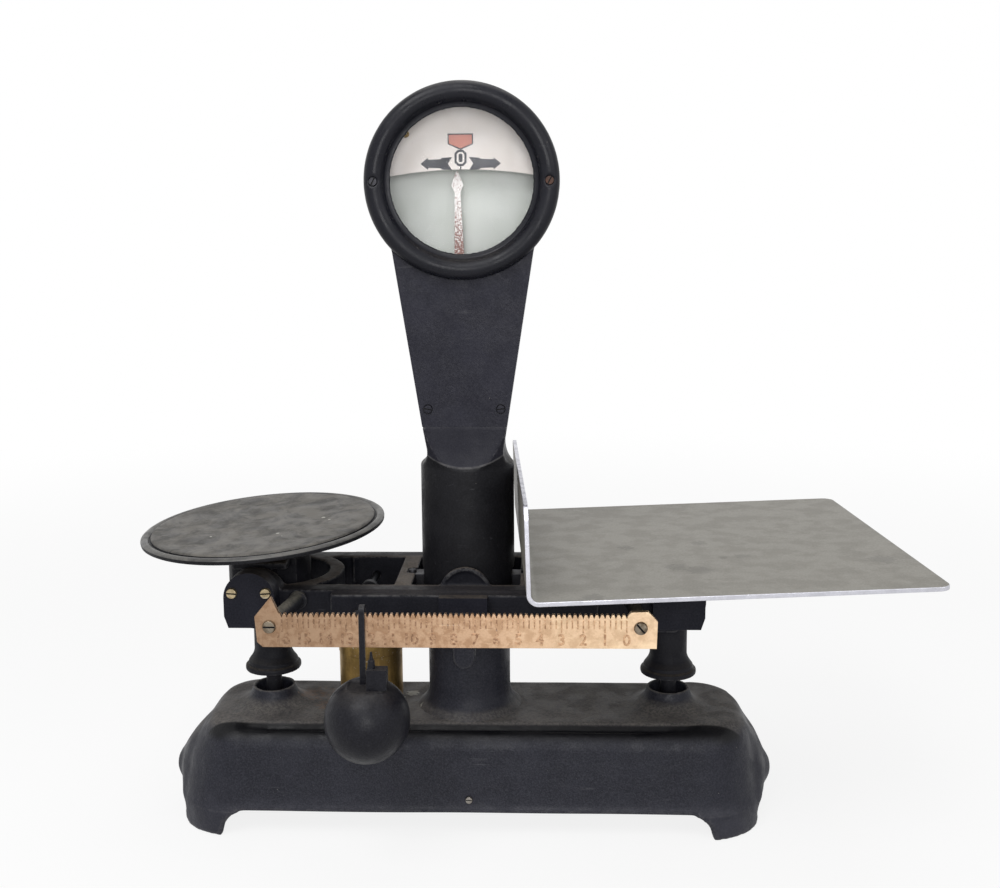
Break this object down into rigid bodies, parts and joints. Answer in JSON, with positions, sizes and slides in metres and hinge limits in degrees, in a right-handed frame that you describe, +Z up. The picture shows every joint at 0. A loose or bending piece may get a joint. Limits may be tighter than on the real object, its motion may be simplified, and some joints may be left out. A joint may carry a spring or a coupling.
{
  "type": "balance scale",
  "caption": "Even-arm counter scale with a tower dial, a round plate, a flat platter with one upright side, and a notched beam bar with a sliding poise.",
  "frame": {"origin": "on the floor, straight under the middle knife edge", "axes": "+X along the beam to the flat platter's side, +Y to the back, +Z up"},
  "size_m": [0.4948, 0.2521, 0.4751],
  "materials": {
    "black_iron": "worn black paint on castings, dusty on top",
    "dusty_iron": "worn black paint under grey-brown dust",
    "steel": "dull, lightly rusted",
    "brass": "tarnished",
    "dashpot_brass": "darkened",
    "copper_brass": "satin, reddish",
    "plate_metal": "dull and scratched",
    "platter_sheet": "stained satin sheet with bright edges",
    "dial_white": "aged enamel",
    "pointer_white": "chipped paint",
    "glass": "clear",
    "gasket": "matt"
  },
  "bodies": {
    "stand": {"base_casting": "black_iron", "base_screw": "steel", "pedestal": "black_iron", "pedestal_bolts": "steel", "column_sleeve": "black_iron", "centre_bearings": "steel", "tower_front_shell": "black_iron", "tower_rear_shell": "black_iron", "tower_screws": "steel", "bezel": "black_iron", "bezel_screws": "steel", "window_glass": "glass", "glass_gasket": "gasket", "dial_backing": "dial_white", "dial_chart": "dial_white", "dial_spacers": "brass", "dial_screws": "brass", "dashpot_cylinder": "dashpot_brass", "dashpot_cap": "dashpot_brass", "check_link_pin": "steel"},
    "beam": {"beam_frame": "dusty_iron", "centre_housings": "black_iron", "centre_knife_edges": "steel", "left_knife_edges": "steel", "right_knife_edges": "steel", "left_bearing_covers": "black_iron", "right_bearing_covers": "black_iron", "cover_screws": "brass", "pointer_bridge": "steel", "bridge_screws": "steel", "pointer_stem": "steel", "sensitivity_nut": "brass", "pointer_blade": "pointer_white", "dashpot_cross_pin": "steel", "bar_arms": "dusty_iron", "graduated_bar": "copper_brass", "bar_screws": "steel"},
    "left_pan_support": {"left_support": "black_iron", "left_bearings": "steel", "left_stem": "black_iron", "left_stem_pin": "steel"},
    "right_pan_support": {"right_support": "black_iron", "right_bearings": "steel", "right_stem": "black_iron", "right_stem_pin": "steel"},
    "plate": {"round_plate": "plate_metal"},
    "tray": {"platter": "platter_sheet", "platter_boss": "steel"},
    "link": {"check_link": "black_iron"},
    "plunger": {"dashpot_plunger": "steel"},
    "poise": {"poise_ball": "black_iron", "poise_plug": "black_iron", "poise_strap": "black_iron"}
  },
  "joints": [
    {"name": "beam_tilt", "type": "hinge", "parent": "stand", "child": "beam", "pos_m": [0, 0, 0.154], "axis": [0, 1, 0], "range_deg": [-3, 3]},
    {"name": "left_support_pivot", "type": "hinge", "parent": "beam", "child": "left_pan_support", "pos_m": [-0.133, 0, 0.154], "axis": [0, 1, 0], "range_deg": [-3, 3]},
    {"name": "right_support_pivot", "type": "hinge", "parent": "beam", "child": "right_pan_support", "pos_m": [0.133, 0, 0.154], "axis": [0, 1, 0], "range_deg": [-3, 3]},
    {"name": "check_link_pivot", "type": "hinge", "parent": "stand", "child": "link", "pos_m": [0, 0, 0.04], "axis": [0, 1, 0], "range_deg": [-3, 3]},
    {"name": "plunger_slide", "type": "slide", "parent": "stand", "child": "plunger", "axis": [0, 0, 1], "range_m": [-0.0035, 0.0035]},
    {"name": "poise_slide", "type": "slide", "parent": "beam", "child": "poise", "axis": [1, 0, 0], "range_m": [-0.0465, 0.155]},
    {"name": "plate_lift", "type": "slide", "parent": "left_pan_support", "child": "plate", "axis": [0, 0, 1], "range_m": [0, 0.03]},
    {"name": "tray_lift", "type": "slide", "parent": "right_pan_support", "child": "tray", "axis": [0, 0, 1], "range_m": [0, 0.03]}
  ],
  "couplings": [
    {"joint": "left_support_pivot", "follows": "beam_tilt", "ratio": -1},
    {"joint": "right_support_pivot", "follows": "beam_tilt", "ratio": -1},
    {"joint": "check_link_pivot", "follows": "beam_tilt", "ratio": 1},
    {"joint": "plunger_slide", "follows": "beam_tilt", "m_per_rad": 0.0665}
  ]
}
